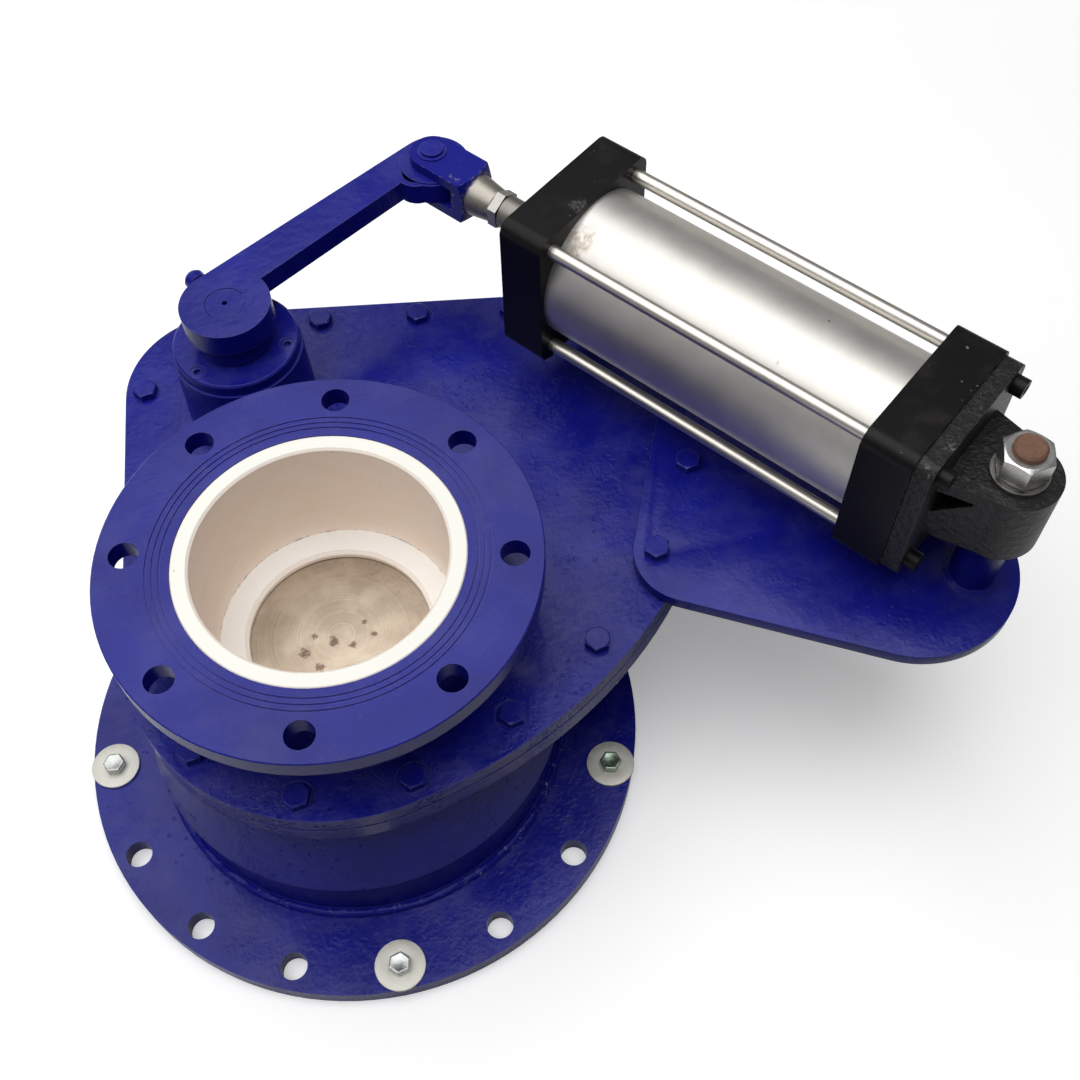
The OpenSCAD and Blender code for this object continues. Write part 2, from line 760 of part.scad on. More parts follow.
// Rocker arm that carries the disc, with its cut-out between the hubs
arm_reach = shaft_y;
arm_hub_r = 38;
arm_eye_r = 34;
spindle_r = 16;

module rocker_arm() {
  color(steel) difference() {
    union() {
      at_shaft() rod(arm_hub_r, arm_hub_z, arm_hub_top - arm_hub_z);
      translate([0, 0, arm_z]) linear_extrude(arm_t) belt([[0, 0, arm_eye_r], [0, shaft_y, arm_hub_r - 4]]);
    }
    at_shaft() rod(shaft_arm_d / 2 + slip_fit, arm_hub_z - cut, arm_hub_top);
    at_shaft() rotate([0, 0, -90]) key_box(shaft_arm_d / 2, arm_hub_z - cut, arm_hub_top);
    rod(spindle_r + run_fit, arm_z - cut, arm_t + 2 * cut);
    translate([0, 0, arm_z + arm_t - 6]) linear_extrude(6 + cut)
      belt([[0, arm_eye_r + 24, 14], [0, shaft_y - arm_hub_r - 22, 14]]);
  }
}

module rocker_key() {
  color(steel) at_shaft() rotate([0, 0, -90]) key_box(shaft_arm_d / 2, arm_hub_z, arm_hub_top - arm_hub_z);
}

module arm_circlip() {
  color(steel) at_shaft() difference() {
    ring(shaft_arm_d / 2 + 5, shaft_arm_d / 2 - clip_groove, clip_z, clip_t);
    box(0, shaft_arm_d, -4, 4, clip_z - cut, clip_z + clip_t + cut);
  }
}

// Disc and its sprung spindle
disc_top = seat_z - seat_gap;
disc_z = disc_top - disc_t;
spring_h = 8;
spindle_flange_t = 5;
spindle_flange_r = 34;
spindle_flange_z = arm_z + arm_t + spring_h;
disc_hub_z = spindle_flange_z + spindle_flange_t + pass_gap;
disc_hub_r = 32;
bush_wall = 4;
pin_r = 14;
pin_top = disc_top - 9;
spindle_nut_t = 8;
spindle_nut_z = arm_z - 2.3 - spindle_nut_t;
spindle_low = spindle_nut_z - 1;

module disc_spindle() {
  color(steel) {
    rod(spindle_r, spindle_low, spindle_flange_z - spindle_low);
    rod(spindle_flange_r, spindle_flange_z, spindle_flange_t);
    rod(pin_r, spindle_flange_z, pin_top - spindle_flange_z);
  }
}

module spindle_nut() {
  color(steel) difference() {
    hex(46, spindle_nut_z, spindle_nut_t);
    rod(spindle_r + slip_fit, spindle_nut_z - cut, spindle_nut_t + 2 * cut);
  }
}

// Two disc springs face to face
module disc_spring() {
  half = spring_h / 2;
  color(steel) rotate_extrude() polygon([
    [spindle_r + 0.5, arm_z + arm_t + half - 1], [30, arm_z + arm_t], [30, arm_z + arm_t + 1.5],
    [spindle_r + 4, arm_z + arm_t + half], [30, arm_z + arm_t + spring_h - 1.5],
    [30, arm_z + arm_t + spring_h], [spindle_r + 0.5, arm_z + arm_t + half + 1]]);
}

module disc_bush() {
  color(bronze) ring(pin_r + bush_wall, pin_r + run_fit, disc_hub_z, pin_top - disc_hub_z);
}

module disc() {
  color(steel) difference() {
    union() {
      translate([0, 0, disc_z]) rotate_extrude() polygon([
        [0, 0], [disc_d / 2 - 3, 0], [disc_d / 2, 3], [disc_d / 2, disc_t - 1.5],
        [disc_d / 2 - 1.5, disc_t], [0, disc_t]]);
      rod(disc_hub_r, disc_hub_z, disc_z - disc_hub_z + 1);
    }
    rod(pin_r + bush_wall + slip_fit, disc_hub_z - cut, pin_top + 1 - disc_hub_z + cut);
  }
}

// Cylinder, swinging on the rear pivot
cap_edge_r = 12;
screw_pitch = tie_pitch - 4;

module square_section(w, r) {
  offset_w = w / 2 - r;
  for (x = [-offset_w, offset_w]) for (y = [-offset_w, offset_w]) translate([x, y]) circle(r);
  square([w, 2 * offset_w], center = true);
  square([2 * offset_w, w], center = true);
}

module corners(pitch) {
  for (x = [-1, 1]) for (y = [-1, 1]) translate([x * pitch / 2, y * pitch / 2, 0]) children();
}

module rear_bracket() {
  web_w = 84;
  lip_t = 12;
  pocket_low = 26;
  pocket_end = 14;
  core_w = 30;
  color(black) difference() {
    union() {
      turned() translate([0, 0, flange_x]) linear_extrude(bracket_flange_t) square_section(cap_w - 4, cap_edge_r);
      along_rod() translate([0, 0, -bracket_eye_h / 2]) linear_extrude(bracket_eye_h) {
        circle(bracket_eye_r);
        polygon([[0, -bracket_eye_r], [flange_x + 1, -web_w / 2], [flange_x + 1, web_w / 2], [0, bracket_eye_r]]);
      }
    }
    along_rod() rod(stud_d / 2 + 3, -bracket_eye_h, 2 * bracket_eye_h);
    for (side = [0, 1]) along_rod() mirror([0, side, 0]) translate([0, -core_w / 2, bracket_eye_h / 2 - lip_t])
      rotate([90, 0, 0]) linear_extrude(web_w) polygon([
        [pocket_end, 0], [pocket_end, -3], [flange_x, -pocket_low], [flange_x, 0]]);
    turned() corners(screw_pitch) rod(5 + slip_fit, flange_x - cut, bracket_flange_t + 2 * cut);
  }
}

module pivot_bush() {
  color(bronze) along_rod()
    ring(stud_d / 2 + 3 - slip_fit, stud_d / 2 + run_fit, -bracket_eye_h / 2, bracket_eye_h);
}

module bracket_screws() {
  color(zinc) turned() corners(screw_pitch) difference() {
    union() {
      rod(8, flange_x - 10, 10);
      rod(5, flange_x - 1, bracket_flange_t + 15);
    }
    hex(8, flange_x - 10, 5);
  }
}

module cap_shell(x) {
  turned() translate([0, 0, x]) linear_extrude(cap_l) square_section(cap_w, cap_edge_r);
}

port_r = 9.5;
port_depth = 30;

// Air port in the cap's far side
module air_port(x) {
  along_rod() translate([x, 0, 0]) rotate([90, 0, 0]) rod(port_r, cap_w / 2 - port_depth, port_depth + cut);
}

module rear_cap() {
  color(black) difference() {
    union() {
      cap_shell(rear_cap_x);
      turned() rod(cyl_bore / 2 - slip_fit, tube_x - cut, spigot_l + cut);
    }
    turned() ring(tube_r + slip_fit, cyl_bore / 2 - slip_fit, tube_x - tube_seat, tube_seat + cut);
    turned() ring(cyl_bore, cyl_bore / 2 - 4, tube_x + 5, 4);
    turned() rod(24, tube_x - 12, spigot_l + 12 + cut);
    turned() corners(screw_pitch) rod(5 + slip_fit, rear_cap_x - cut, 16);
    turned() corners(tie_pitch) rod(tie_d / 2 + slip_fit, tube_x - 18, 20);
    air_port(rear_cap_x + cap_l / 2 - 4);
  }
}

// Round tie rod nuts with a hexagon socket, sunk in the front cap
tie_nut_r = 9;
tie_nut_l = 12;
tie_nut_x = front_x - tie_nut_l - 1;

module front_cap() {
  color(black) difference() {
    union() {
      cap_shell(front_cap_x);
      turned() rod(cyl_bore / 2 - slip_fit, front_cap_x - spigot_l, spigot_l + cut);
      turned() rod(34, front_x - 1, 9);
    }
    turned() ring(tube_r + slip_fit, cyl_bore / 2 - slip_fit, front_cap_x - cut, tube_seat + cut);
    turned() ring(cyl_bore, cyl_bore / 2 - 4, front_cap_x - 9, 4);
    turned() rod(24, front_cap_x - spigot_l - cut, spigot_l + 12);
    turned() rod(rod_d / 2 + 5, front_cap_x - spigot_l, 2 * cap_l);
    turned() corners(tie_pitch) {
      rod(tie_d / 2 + slip_fit, front_cap_x - cut, cap_l + 2 * cut);
      rod(tie_nut_r + pass_gap, tie_nut_x, cap_l);
    }
    air_port(front_cap_x + cap_l / 2 + 4);
  }
}

module cylinder_tube() {
  color([0.7, 0.7, 0.72]) turned() ring(tube_r, cyl_bore / 2, tube_x - tube_seat, tube_l + 2 * tube_seat);
}

module tube_seals() {
  color(dark_rubber) turned() for (x = [tube_x + 5, front_cap_x - 9])
    ring(cyl_bore / 2, cyl_bore / 2 - 4, x, 4);
}

module rod_bush() {
  color(bronze) turned() ring(rod_d / 2 + 5 - slip_fit, rod_d / 2 + run_fit, front_cap_x, cap_l - 6);
}

module rod_wiper() {
  color(dark_rubber) turned() ring(rod_d / 2 + 5 - slip_fit, rod_d / 2 + run_fit, front_x - 2, 8);
}

module tie_rods() {
  socket_z = tie_nut_x + tie_nut_l / 2;
  color(zinc) turned() corners(tie_pitch) difference() {
    union() {
      rod(tie_d / 2, tube_x - 18, socket_z - tube_x + 16);
      rod(tie_nut_r, tie_nut_x, tie_nut_l);
    }
    hex(tie_d * 0.7, socket_z, tie_nut_l);
  }
}

// Piston rod, piston and fork
module piston_rod() {
  color(zinc) turned() {
    rod(thread_r, piston_x - piston_nut_l + 1, piston_l + piston_nut_l);
    rod(rod_d / 2, piston_x + piston_l, rod_front - piston_x - piston_l);
    rod(thread_r, rod_front - 1, block_x + 10 - rod_front + 1);
  }
}

module piston() {
  color([0.75, 0.75, 0.76]) turned() difference() {
    rod(cyl_bore / 2 - 0.4, piston_x, piston_l);
    rod(thread_r + slip_fit, piston_x - cut, piston_l + 2 * cut);
    for (x = [5, piston_l - 10]) ring(cyl_bore, cyl_bore / 2 - 5, piston_x + x, 5);
  }
}

module piston_seals() {
  color(dark_rubber) turned() for (x = [5, piston_l - 10])
    ring(cyl_bore / 2 - run_fit, cyl_bore / 2 - 5, piston_x + x, 5);
}

module piston_nut() {
  color(zinc) turned() difference() {
    hex(30, piston_x - piston_nut_l + 2, piston_nut_l - 2);
    rod(thread_r + slip_fit, piston_x - piston_nut_l, piston_nut_l + cut);
  }
}

module fork() {
  chamfer = 4;
  color(blue) difference() {
    union() {
      intersection() {
        along_rod() translate([0, 0, -fork_h / 2]) linear_extrude(fork_h) {
          translate([rod_reach, 0]) circle(fork_w / 2);
          translate([block_x, -fork_w / 2]) square([fork_l, fork_w]);
        }
        turned() rotate_extrude() polygon([
          [0, block_x], [fork_w / 2 + 1, block_x], [fork_w, block_x + 9],
          [fork_w, rod_reach + fork_w], [0, rod_reach + fork_w]]);
      }
      turned() translate([0, 0, neck_x]) cylinder(r1 = 15, r2 = 19, h = fork_neck_l + 1);
    }
    along_rod() box(block_x + 13, rod_reach + fork_w, -fork_w, fork_w, -fork_gap / 2, fork_gap / 2);
    along_rod() translate([rod_reach, 0, 0]) rod(pin_d / 2 + slip_fit, -fork_h, 2 * fork_h);
    turned() rod(thread_r + slip_fit, neck_x - cut, fork_l);
  }
}

module fork_lock_nut() {
  color(zinc) turned() difference() {
    hex(30, lock_nut_x, lock_nut_l);
    rod(thread_r + slip_fit, lock_nut_x - cut, lock_nut_l + 2 * cut);
  }
}

pin_over = 4;
clip_h = 1.4;

module at_pin() {
  translate([pin_at[0], pin_at[1], 0]) children();
}

module fork_pin() {
  half = fork_h / 2 + pin_over;
  color(blue) at_pin() difference() {
    rod(pin_d / 2, lever_z - half, 2 * half);
    for (z = [lever_z - fork_h / 2 - clip_h, lever_z + fork_h / 2]) ring(pin_d, pin_d / 2 - 1, z, clip_h);
  }
}

module pin_circlips() {
  color(blue) at_pin() for (z = [lever_z - fork_h / 2 - clip_h, lever_z + fork_h / 2]) difference() {
    ring(pin_d / 2 + 3, pin_d / 2 - 1, z, clip_h);
    rotate([0, 0, 40]) box(0, pin_d, -3, 3, z - cut, z + clip_h + cut);
  }
}

module thrust_washers() {
  washer_h = (fork_gap - lever_t) / 2 - pass_gap;
  color(blue) at_pin() for (z = [lever_z - fork_gap / 2, lever_z + fork_gap / 2 - washer_h])
    ring(eye_r - 2, pin_d / 2 + slip_fit, z, washer_h);
}

lower_body();
body_gasket();
upper_cover();
inlet_liner();
seat_ring();
rim_bolts();
rim_nuts();
upper_bush();
lower_bush();
packing_rings();
gland_cover();
gland_screws();
shaft_end_cap();
end_cap_screws();
bracket_plate();
pivot_post();
pivot_stud();
pivot_washers();
pivot_nut();
shaft();
shaft_collar();
lever_key();
lever_arm();
lever_set_screw();
rocker_arm();
rocker_key();
arm_circlip();
disc_spindle();
spindle_nut();
disc_spring();
disc_bush();
disc();
rear_bracket();
pivot_bush();
bracket_screws();
rear_cap();
cylinder_tube();
tube_seals();
front_cap();
rod_bush();
rod_wiper();
tie_rods();
piston_rod();
piston();
piston_seals();
piston_nut();
fork();
fork_lock_nut();
fork_pin();
pin_circlips();
thrust_washers();
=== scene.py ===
"""Looks of the swing disc rotary valve: finishes, bracket plate, weld bead, screws, light, camera."""

import json
import math

import bmesh
import bpy
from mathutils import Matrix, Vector


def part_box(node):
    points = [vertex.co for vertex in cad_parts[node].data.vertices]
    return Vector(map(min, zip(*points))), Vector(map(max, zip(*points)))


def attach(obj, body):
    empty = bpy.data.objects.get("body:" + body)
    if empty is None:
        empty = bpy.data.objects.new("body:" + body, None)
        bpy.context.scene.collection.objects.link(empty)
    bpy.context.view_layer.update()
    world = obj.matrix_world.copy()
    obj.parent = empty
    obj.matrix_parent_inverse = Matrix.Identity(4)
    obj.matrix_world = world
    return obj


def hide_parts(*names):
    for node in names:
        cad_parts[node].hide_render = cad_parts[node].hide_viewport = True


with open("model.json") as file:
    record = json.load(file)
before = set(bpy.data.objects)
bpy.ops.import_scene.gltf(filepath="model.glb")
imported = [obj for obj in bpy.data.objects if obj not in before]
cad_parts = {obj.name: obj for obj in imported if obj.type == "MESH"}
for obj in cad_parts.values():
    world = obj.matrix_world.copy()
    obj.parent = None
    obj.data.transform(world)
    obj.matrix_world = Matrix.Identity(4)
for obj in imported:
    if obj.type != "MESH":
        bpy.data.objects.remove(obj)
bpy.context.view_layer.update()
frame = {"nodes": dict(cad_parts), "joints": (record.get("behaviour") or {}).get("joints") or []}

MM = 0.001

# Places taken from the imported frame
nodes = frame["nodes"]
joints = {joint["name"]: joint for joint in frame["joints"]}
rod_way = Vector(joints["rod_slide"]["axis"]).normalized()
rod_side = Vector((-rod_way.y, rod_way.x, 0))
inlet_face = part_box("upper_cover")[1].z
stud_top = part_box("pivot_stud")[1].z
seat_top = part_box("seat_ring")[1].z
liner_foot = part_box("inlet_liner")[0].z
pin_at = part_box("fork_pin")[0] * 0.5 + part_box("fork_pin")[1] * 0.5

# Sizes that the small pieces are set out from
flange_thick = 18 * MM
outlet_circle = 230 * MM
outlet_holes = 16
pipe_radius = 178 * MM


# Shader maths


class Value:
    """A socket that runs through a material, with plain arithmetic that adds the Math nodes."""

    def __init__(self, shader, socket):
        self.shader = shader
        self.socket = socket

    def maths(self, operation, *others):
        return self.shader.maths(operation, self, *others)

    def __add__(self, other):
        return self.maths("ADD", other)

    __radd__ = __add__

    def __mul__(self, other):
        return self.maths("MULTIPLY", other)

    __rmul__ = __mul__

    def __sub__(self, other):
        return self.maths("SUBTRACT", other)

    def __rsub__(self, other):
        return self.shader.maths("SUBTRACT", other, self)

    def __truediv__(self, other):
        return self.maths("DIVIDE", other)


class Shader:
    """Node tree of one material, or of the sky."""

    def __init__(self, name, library=bpy.data.materials):
        self.material = library.new(name)
        self.material.use_nodes = True
        self.tree = self.material.node_tree
        self.tree.nodes.clear()
        self.object_place = self.node("ShaderNodeTexCoord")["Object"]
        self.x, self.y, self.z = self.split(self.object_place)

    def node(self, kind, settings=None, values=None):
        """Adds a node, sets it up, fills its sockets with numbers or links, and returns its outputs by name."""
        made = self.tree.nodes.new(kind)
        for key, setting in (settings or {}).items():
            if key == "stops":
                self.set_stops(made.color_ramp, setting)
            else:
                setattr(made, key, setting)
        for key, value in (values or {}).items():
            if isinstance(key, int):
                socket = made.inputs[key]
            else:
                socket = next(s for s in made.inputs if s.enabled and s.name == key)
            if isinstance(value, Value):
                self.tree.links.new(value.socket, socket)
            else:
                socket.default_value = value
        return {s.name: Value(self, s) for s in made.outputs if s.enabled}

    @staticmethod
    def set_stops(ramp, stops):
        while len(ramp.elements) < len(stops):
            ramp.elements.new(1)
        for element, (place, colour) in zip(ramp.elements, stops):
            element.position = place
            element.color = colour

    def maths(self, operation, *numbers):
        values = dict(enumerate(numbers))
        return self.node("ShaderNodeMath", {"operation": operation}, values)["Value"]

    def split(self, vector):
        parts = self.node("ShaderNodeSeparateXYZ", {}, {"Vector": vector})
        return parts["X"], parts["Y"], parts["Z"]

    def join(self, x, y, z):
        return self.node("ShaderNodeCombineXYZ", {}, {"X": x, "Y": y, "Z": z})["Vector"]

    def along(self, way):
        """Distance of a point along a direction."""
        values = {0: self.object_place, 1: tuple(way)}
        return self.node("ShaderNodeVectorMath", {"operation": "DOT_PRODUCT"}, values)["Value"]

    def from_axis(self, centre):
        """Distance of a point from an upright axis."""
        east = self.x - centre[0]
        north = self.y - centre[1]
        return self.maths("SQRT", east * east + north * north)

    def noise(self, size, detail=2.0, rough=0.5, place=None):
        """Soft grain about `size` metres across, from 0 to 1."""
        values = {"Scale": 1 / size, "Detail": detail, "Roughness": rough}
        values["Vector"] = place or self.object_place
        return self.node("ShaderNodeTexNoise", {}, values)["Fac"]

    def specks(self, size, reach):
        """Round specks, one to each cell of `size` metres at most, 1 inside and 0 outside."""
        values = {"Vector": self.object_place, "Scale": 1 / size}
        distance = self.node("ShaderNodeTexVoronoi", {"feature": "F1"}, values)["Distance"]
        return self.fade(distance, reach, reach * 0.5)

    def mark(self, x, y, z, reach):
        """1 at a place on the part, given in millimetres, and 0 beyond its reach, with a ragged border."""
        values = {0: self.object_place, 1: (x * MM, y * MM, z * MM)}
        distance = self.node("ShaderNodeVectorMath", {"operation": "DISTANCE"}, values)["Value"]
        ragged = distance + (self.noise(reach * 0.8 * MM, 4, 0.75) - 0.5) * (reach * 2.6 * MM)
        return self.fade(ragged, reach * MM, reach * 0.4 * MM)

    def fade(self, value, low, high):
        """0 at low, 1 at high and smooth between them; low may be the larger one."""
        values = {"Value": value, "From Min": low, "From Max": high}
        return self.node("ShaderNodeMapRange", {"interpolation_type": "SMOOTHSTEP"}, values)["Result"]

    def blend(self, mask, first, second):
        values = {"Factor": mask, "A": first, "B": second}
        return self.node("ShaderNodeMix", {"data_type": "RGBA"}, values)["Result"]

    def facing_up(self):
        """1 on a level upper face, 0 on walls and undersides."""
        normal = self.node("ShaderNodeNewGeometry")["Normal"]
        return self.fade(self.split(normal)[2], 0.55, 0.95)

    def rounded(self, radius):
        """Normal that turns softly over an edge."""
        return self.node("ShaderNodeBevel", {"samples": 4}, {"Radius": radius})["Normal"]

    def sharp_edges(self, radius):
        """1 on a sharp edge and 0 on flat stretches."""
        true_normal = self.node("ShaderNodeNewGeometry")["Normal"]
        values = {0: self.rounded(radius), 1: true_normal}
        likeness = self.node("ShaderNodeVectorMath", {"operation": "DOT_PRODUCT"}, values)["Value"]
        return self.fade(likeness, 0.99, 0.80)

    def bump(self, height, depth, normal=None, strength=1.0):
        values = {"Height": height, "Distance": depth, "Strength": strength}
        if normal:
            values["Normal"] = normal
        return self.node("ShaderNodeBump", {}, values)["Normal"]

    def finish(self, colour, roughness, metallic=0.0, normal=None, **steady):
        """Closes the material with a Principled shader; steady values go straight onto its sockets."""
        values = {"Base Color": colour, "Roughness": roughness, "Metallic": metallic}
        if normal:
            values["Normal"] = normal
        values.update({name.replace("_", " "): value for name, value in steady.items()})
        surface = self.node("ShaderNodeBsdfPrincipled", {}, values)["BSDF"]
        self.node("ShaderNodeOutputMaterial", {}, {"Surface": surface})
        return self.material


def tint(red, green, blue):
    return (red, green, blue, 1.0)


# Finishes

DEEP_BLUE = tint(0.004, 0.006, 0.190)
BRIGHT_BLUE = tint(0.008, 0.011, 0.262)
SMUDGE_BLUE = tint(0.005, 0.006, 0.12)
EDGE_HIGHLIGHT_BLUE = tint(0.16, 0.17, 0.55)
PAINT_DUST = tint(0.20, 0.20, 0.32)
PRIMER_GREY = tint(0.33, 0.33, 0.36)
EDGE_GLINT = 0.6
# Painted sheen: a faint, even lightening of every upper face, carried in the dust film.
PAINTED_TOP_SHEEN = 0.004
PAINT_GLOSS = 0.16
CLEAR_GLOSS = 0.26
CLEAR_ROUGH = 0.17
CLEAR_IOR = 1.38
PAINT_BUMP = 0.95 * MM


def clouded_blue(s):
    """The blue itself, deeper and brighter in soft clouds."""
    return s.blend(s.fade(s.noise(90 * MM, 4, 0.6), 0.3, 0.7), DEEP_BLUE, BRIGHT_BLUE)


def dust_and_sheen_film(s, up, size, start, dust):
    """Thin film of dust on upper faces, with a faint painted sheen over every upper face."""
    # The added constant is a painted sheen that lightens every upper face a little; the noise part is dust.
    return (s.fade(s.noise(size, 5, 0.65), start, 0.75) * dust + PAINTED_TOP_SHEEN) * up


def highlit_worn_enamel(s, colour, edge, size, chips):
    """Paints a highlight along the edges and chips the paint down to primer here and there."""
    worn = s.sharp_edges(edge)
    # Painted highlight: every sharp edge is blended towards a lighter blue.
    colour = s.blend(worn * EDGE_GLINT, colour, EDGE_HIGHLIGHT_BLUE)
    chipped = worn * s.fade(s.noise(size, 3, 0.6), 0.60, 0.68) * chips
    return s.blend(chipped, colour, PRIMER_GREY)


def pebbled_skin(s, patches):
    """Fine pebbles of a sand casting, strong where its patches are."""
    return s.fade(s.noise(4.6 * MM, 3, 0.6), 0.40, 0.72) * patches


def casting_pits(s):
    """Scattered pits, in some areas only."""
    return s.specks(9 * MM, 0.22) * s.fade(s.noise(40 * MM, 2), 0.5, 0.6)


def glossy_enamel(s, colour, film, up, height, edge):
    """Closes a blue material: dull under its dust, with a clear gloss on upper faces."""
    normal = s.bump(height, PAINT_BUMP, s.rounded(edge), 0.85)
    rough = s.noise(30 * MM, 3, 0.6) * 0.12 + film * 0.8 + 0.19
    return s.finish(
        colour, rough, 0.0, normal, Specular_IOR_Level=PAINT_GLOSS,
        Coat_Weight=up * CLEAR_GLOSS, Coat_Roughness=CLEAR_ROUGH, Coat_IOR=CLEAR_IOR)


def enamel(name, cast=0.0, dust=0.15, chips=0.35, edge=1.2 * MM):
    """Blue enamel brushed over machined plate, or over a rough casting where cast is above 0."""
    s = Shader(name)
    up = s.facing_up()
    film = dust_and_sheen_film(s, up, 55 * MM, 0.42, dust)
    colour = s.blend(film, clouded_blue(s), PAINT_DUST)
    grime = s.fade(s.noise(16 * MM, 4, 0.7), 0.62, 0.8) * 0.35
    colour = highlit_worn_enamel(s, s.blend(grime, colour, SMUDGE_BLUE), edge, 7 * MM, chips)
    flow = s.noise(1.0, 2, 0.5, s.join(s.x / (9 * MM), s.y / (9 * MM), s.z / (40 * MM)))
    height = s.noise(3.2 * MM, 2, 0.5) * 0.22 + flow * 0.75
    if cast:
        patches = s.fade(s.noise(60 * MM, 3, 0.6), 0.47, 0.64) * 0.62 + 0.10
        height = height + (pebbled_skin(s, patches) - casting_pits(s) * 1.6) * cast
    return glossy_enamel(s, colour, film, up, height, edge)


def cover_enamel(name):
    """Blue enamel of the cover: rough as cast below, smooth and brushed on the machined inlet flange."""
    s = Shader(name)
    up = s.facing_up()
    edge = 1.2 * MM
    machined = s.fade(s.z, inlet_face - 24 * MM, inlet_face - 18 * MM)
    film = dust_and_sheen_film(s, up, 60 * MM, 0.40, 0.14)
    colour = s.blend(film, clouded_blue(s), PAINT_DUST)
    smudge = s.fade(s.noise(24 * MM, 4, 0.7), 0.60, 0.78) * 0.4
    colour = highlit_worn_enamel(s, s.blend(smudge, colour, SMUDGE_BLUE), 1.1 * MM, 6 * MM, 0.35)
    brushed = s.noise(1.0, 2, 0.5, s.join(s.x / (22 * MM), s.y / (2.6 * MM), s.z / (6 * MM)))
    patches = s.fade(s.noise(65 * MM, 3, 0.6), 0.45, 0.62) * 0.70 + 0.14
    flow = s.noise(11 * MM, 2, 0.5) * 0.8 + s.noise(3.2 * MM, 2, 0.5) * 0.20
    rough_cast = pebbled_skin(s, patches) * 0.9 - casting_pits(s) * 1.4 + flow
    height = rough_cast * (1 - machined) + brushed * machined * 0.30
    return glossy_enamel(s, colour, film, up, height, edge)


# Marks seen on the real one: place and reach in millimetres
DISC_TOP = seat_top / MM - 8.3
RUST_SPOTS = [
    (-21, 7, 2.6), (-8, -4, 4.6), (6, -13, 3.4), (-33, -5, 4.6), (25, -10, 2.6), (-26, -22, 3.6), (21, 4, 2.4)]
CAP_TOP = 398
CAP_FLECKS = [(491, -74, 1.6), (470, -100, 0.9), (478, -108, 0.8)]
TUBE_SPOTS = [(356, 50, 386, 1.2), (346, 78, 386, 1.4), (363, -22, 383, 3.0)]


def cream_ceramic(name, wall, face):
    """Fired alumina: chalk white face, bore warmer and faintly streaked, grit in the joint at its foot."""
    s = Shader(name)
    up = s.facing_up()
    mottle = s.fade(s.noise(30 * MM, 5, 0.65), 0.3, 0.72)
    fine = s.fade(s.noise(4 * MM, 3, 0.6), 0.35, 0.7)
    streaks = s.noise(1.0, 3, 0.6, s.join(s.x / (60 * MM), s.y / (60 * MM), s.z / (3 * MM)))
    bore = s.blend(mottle, wall, tint(0.97, 0.88, 0.80))
    bore = s.blend(s.fade(streaks, 0.5, 0.75) * 0.35, bore, tint(0.90, 0.74, 0.62))
    colour = s.blend(up, bore, s.blend(fine * 0.3, face, tint(0.95, 0.93, 0.84)))
    stain = s.specks(15 * MM, 0.10) * s.fade(s.noise(30 * MM, 2), 0.52, 0.62)
    colour = s.blend(stain * 0.4, colour, tint(0.42, 0.33, 0.26))
    below = s.fade(s.z, liner_foot + 1.8 * MM, liner_foot + 0.8 * MM)
    above = s.fade(s.z, seat_top - 0.4 * MM, seat_top + 0.2 * MM)
    grit = below * above * (1 - up) * s.fade(s.noise(9 * MM, 4, 0.75), 0.46, 0.60)
    colour = s.blend(grit * 0.8, colour, tint(0.16, 0.10, 0.07))
    height = s.noise(2.6 * MM, 3, 0.6) * 0.5 + s.noise(14 * MM, 2) * 0.7
    normal = s.bump(height, 0.22 * MM, s.rounded(0.9 * MM), 0.7)
    return s.finish(colour, fine * 0.12 + 0.45, 0.0, normal, Specular_IOR_Level=0.3)


def turned_disc(name):
    """Turned valve disc: fine rings round its axis, brown rust spots near the middle and a freckled edge."""
    s = Shader(name)
    radius = s.from_axis((0, 0))
    rings = s.noise(1.0, 2, 0.6, s.join(radius / (0.6 * MM), 0.3, 0.0))
    cloud = s.noise(36 * MM, 4, 0.6)
    colour = s.blend(s.fade(cloud, 0.3, 0.7), tint(0.325, 0.265, 0.20), tint(0.475, 0.40, 0.31))
    colour = s.blend(s.fade(rings, 0.4, 0.7) * 0.25, colour, tint(0.68, 0.60, 0.52))
    spots = 0.0
    for x, y, reach in RUST_SPOTS:
        spots = s.maths("MAXIMUM", spots, s.mark(x, y, DISC_TOP, reach * 1.25))
    spots = spots * s.fade(s.noise(2.2 * MM, 4, 0.75), 0.30, 0.52)
    freckled = s.fade(s.noise(4 * MM, 4, 0.7), 0.56, 0.66) * s.fade(s.along((0.8, 0.6, 0)), 40 * MM, 66 * MM)
    spots = s.maths("MAXIMUM", spots, freckled * 0.6)
    # Darker and browner towards -y, in soft clouds.
    darker_to_minus_y = s.fade(s.noise(30 * MM, 3, 0.6), 0.40, 0.65) * s.fade(s.y, 15 * MM, -30 * MM) * 0.35
    colour = s.blend(darker_to_minus_y, colour, tint(0.38, 0.27, 0.21))
    colour = s.blend(spots * 0.8, colour, tint(0.16, 0.10, 0.07))
    normal = s.bump(rings, 0.10 * MM, s.rounded(0.6 * MM), 0.95)
    rough = rings * 0.10 + spots * 0.3 + 0.36
    return s.finish(colour, rough, 0.85 - spots * 0.5, normal)


